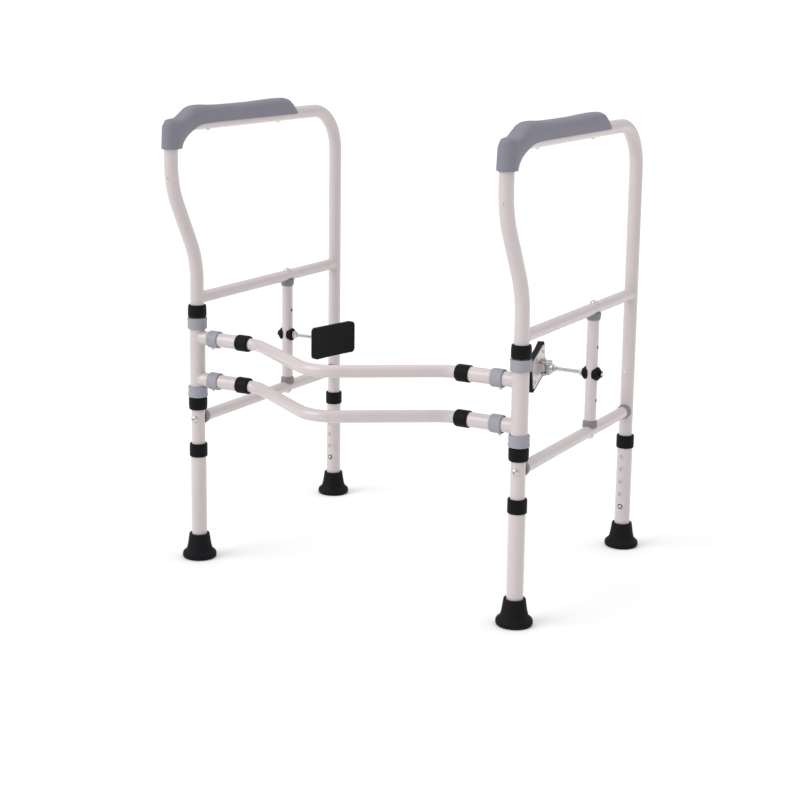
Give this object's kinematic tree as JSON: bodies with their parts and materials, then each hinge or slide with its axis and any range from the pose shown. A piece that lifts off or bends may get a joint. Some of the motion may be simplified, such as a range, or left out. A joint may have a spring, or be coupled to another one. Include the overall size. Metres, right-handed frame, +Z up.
{
  "type": "toilet safety frame",
  "caption": "Free-standing toilet safety frame: two handle hoops on adjustable legs, bowed cross bars and screw clamp pads.",
  "frame": {"origin": "on the floor, under the middle of the whole object's box", "axes": "+Z up, +X across the bowl to the right-hand side frame, +Y from the cross bars towards the open end"},
  "size_m": [0.6366, 0.5695, 0.752],
  "materials": {
    "frame_paint": "gloss powder coat",
    "hinge_grey": "satin moulded",
    "saddle_grey": "satin moulded",
    "armrest_grey": "fine moulded grain",
    "black_plastic": "satin moulded",
    "black_rubber": "matte",
    "zinc_steel": "zinc plated"
  },
  "bodies": {
    "crossbars": {"crossbar_lower": "frame_paint", "crossbar_upper": "frame_paint"},
    "left_hinge": {"left_tee_sleeve": "frame_paint", "left_hinge_bushings": "hinge_grey", "left_width_sleeves": "frame_paint", "left_width_rings": "hinge_grey", "left_sleeve_caps": "black_plastic"},
    "left_frame": {"left_handle_tube": "frame_paint", "left_upper_strut": "frame_paint", "left_lower_strut": "frame_paint", "left_clamp_post": "frame_paint", "left_post_saddles": "saddle_grey", "left_strut_saddles": "saddle_grey", "left_frame_bolts": "zinc_steel", "left_stop_collars": "black_plastic", "left_clamp_shoes": "black_plastic", "left_armrest": "armrest_grey"},
    "left_near_lower_leg": {"left_near_leg": "frame_paint", "left_near_collar": "black_plastic", "left_near_foot": "black_rubber"},
    "left_near_snap": {"left_near_button": "zinc_steel"},
    "left_far_lower_leg": {"left_far_leg": "frame_paint", "left_far_collar": "black_plastic", "left_far_foot": "black_rubber"},
    "left_far_snap": {"left_far_button": "zinc_steel"},
    "left_adjust_nut": {"left_adjust_nut": "black_plastic"},
    "left_lock_nut": {"left_lock_nut": "zinc_steel"},
    "left_clamp_rod": {"left_clamp_rod": "zinc_steel"},
    "left_yoke": {"left_yoke": "zinc_steel"},
    "left_pad": {"left_pad_plate": "frame_paint", "left_pad_rubber": "black_rubber"},
    "right_hinge": {"right_tee_sleeve": "frame_paint", "right_hinge_bushings": "hinge_grey", "right_width_sleeves": "frame_paint", "right_width_rings": "hinge_grey", "right_sleeve_caps": "black_plastic"},
    "right_frame": {"right_handle_tube": "frame_paint", "right_upper_strut": "frame_paint", "right_lower_strut": "frame_paint", "right_clamp_post": "frame_paint", "right_post_saddles": "saddle_grey", "right_strut_saddles": "saddle_grey", "right_frame_bolts": "zinc_steel", "right_stop_collars": "black_plastic", "right_clamp_shoes": "black_plastic", "right_armrest": "armrest_grey"},
    "right_near_lower_leg": {"right_near_leg": "frame_paint", "right_near_collar": "black_plastic", "right_near_foot": "black_rubber"},
    "right_near_snap": {"right_near_button": "zinc_steel"},
    "right_far_lower_leg": {"right_far_leg": "frame_paint", "right_far_collar": "black_plastic", "right_far_foot": "black_rubber"},
    "right_far_snap": {"right_far_button": "zinc_steel"},
    "right_adjust_nut": {"right_adjust_nut": "black_plastic"},
    "right_lock_nut": {"right_lock_nut": "zinc_steel"},
    "right_clamp_rod": {"right_clamp_rod": "zinc_steel"},
    "right_yoke": {"right_yoke": "zinc_steel"},
    "right_pad": {"right_pad_plate": "frame_paint", "right_pad_rubber": "black_rubber"}
  },
  "joints": [
    {"name": "left_width_slide", "type": "slide", "parent": "crossbars", "child": "left_hinge", "axis": [-1, 0, 0], "range_m": [0, 0.05]},
    {"name": "left_fold", "type": "hinge", "parent": "left_hinge", "child": "left_frame", "pos_m": [-0.29, -0.17343, 0.34], "axis": [0, 0, 1], "range_deg": [-60, 90]},
    {"name": "left_near_leg_slide", "type": "slide", "parent": "left_frame", "child": "left_near_lower_leg", "axis": [0, 0, -1], "range_m": [0, 0.088]},
    {"name": "left_near_button_press", "type": "slide", "parent": "left_near_lower_leg", "child": "left_near_snap", "axis": [0, -1, 0], "range_m": [0, 0.0025], "stiffness_N_per_m": 300},
    {"name": "left_far_leg_slide", "type": "slide", "parent": "left_frame", "child": "left_far_lower_leg", "axis": [0, 0, -1], "range_m": [0, 0.088]},
    {"name": "left_far_button_press", "type": "slide", "parent": "left_far_lower_leg", "child": "left_far_snap", "axis": [0, 1, 0], "range_m": [0, 0.0025], "stiffness_N_per_m": 300},
    {"name": "left_adjust_nut_spin", "type": "hinge", "parent": "left_frame", "child": "left_adjust_nut", "pos_m": [-0.29, 0.09657, 0.3335], "axis": [1, 0, 0], "range_deg": [0, 12600]},
    {"name": "left_lock_nut_spin", "type": "hinge", "parent": "left_frame", "child": "left_lock_nut", "pos_m": [-0.29, 0.09657, 0.3335], "axis": [1, 0, 0], "range_deg": [0, 12600]},
    {"name": "left_rod_slide", "type": "slide", "parent": "left_frame", "child": "left_clamp_rod", "axis": [-1, 0, 0], "range_m": [0, 0.035]},
    {"name": "left_yoke_swivel", "type": "hinge", "parent": "left_clamp_rod", "child": "left_yoke", "pos_m": [-0.206, 0.09657, 0.3335], "axis": [1, 0, 0], "range_deg": [-90, 90]},
    {"name": "left_pad_tilt", "type": "hinge", "parent": "left_yoke", "child": "left_pad", "pos_m": [-0.206, 0.09657, 0.3335], "axis": [0, 0, 1], "range_deg": [-8, 32]},
    {"name": "right_width_slide", "type": "slide", "parent": "crossbars", "child": "right_hinge", "axis": [1, 0, 0], "range_m": [0, 0.05]},
    {"name": "right_fold", "type": "hinge", "parent": "right_hinge", "child": "right_frame", "pos_m": [0.29, -0.17343, 0.34], "axis": [0, 0, 1], "range_deg": [-90, 60]},
    {"name": "right_near_leg_slide", "type": "slide", "parent": "right_frame", "child": "right_near_lower_leg", "axis": [0, 0, -1], "range_m": [0, 0.088]},
    {"name": "right_near_button_press", "type": "slide", "parent": "right_near_lower_leg", "child": "right_near_snap", "axis": [0, -1, 0], "range_m": [0, 0.0025], "stiffness_N_per_m": 300},
    {"name": "right_far_leg_slide", "type": "slide", "parent": "right_frame", "child": "right_far_lower_leg", "axis": [0, 0, -1], "range_m": [0, 0.088]},
    {"name": "right_far_button_press", "type": "slide", "parent": "right_far_lower_leg", "child": "right_far_snap", "axis": [0, 1, 0], "range_m": [0, 0.0025], "stiffness_N_per_m": 300},
    {"name": "right_adjust_nut_spin", "type": "hinge", "parent": "right_frame", "child": "right_adjust_nut", "pos_m": [0.29, 0.09657, 0.3335], "axis": [-1, 0, 0], "range_deg": [0, 12600]},
    {"name": "right_lock_nut_spin", "type": "hinge", "parent": "right_frame", "child": "right_lock_nut", "pos_m": [0.29, 0.09657, 0.3335], "axis": [-1, 0, 0], "range_deg": [0, 12600]},
    {"name": "right_rod_slide", "type": "slide", "parent": "right_frame", "child": "right_clamp_rod", "axis": [1, 0, 0], "range_m": [0, 0.035]},
    {"name": "right_yoke_swivel", "type": "hinge", "parent": "right_clamp_rod", "child": "right_yoke", "pos_m": [0.206, 0.09657, 0.3335], "axis": [1, 0, 0], "range_deg": [-100, 80]},
    {"name": "right_pad_tilt", "type": "hinge", "parent": "right_yoke", "child": "right_pad", "pos_m": [0.206, 0.09657, 0.3335], "axis": [0, -0.1736, 0.9848], "range_deg": [-32, 8]}
  ],
  "couplings": [
    {"joint": "left_adjust_nut_spin", "follows": "left_rod_slide", "rad_per_m": 6283.2},
    {"joint": "left_lock_nut_spin", "follows": "left_rod_slide", "rad_per_m": 6283.2},
    {"joint": "right_adjust_nut_spin", "follows": "right_rod_slide", "rad_per_m": 6283.2},
    {"joint": "right_lock_nut_spin", "follows": "right_rod_slide", "rad_per_m": 6283.2}
  ]
}
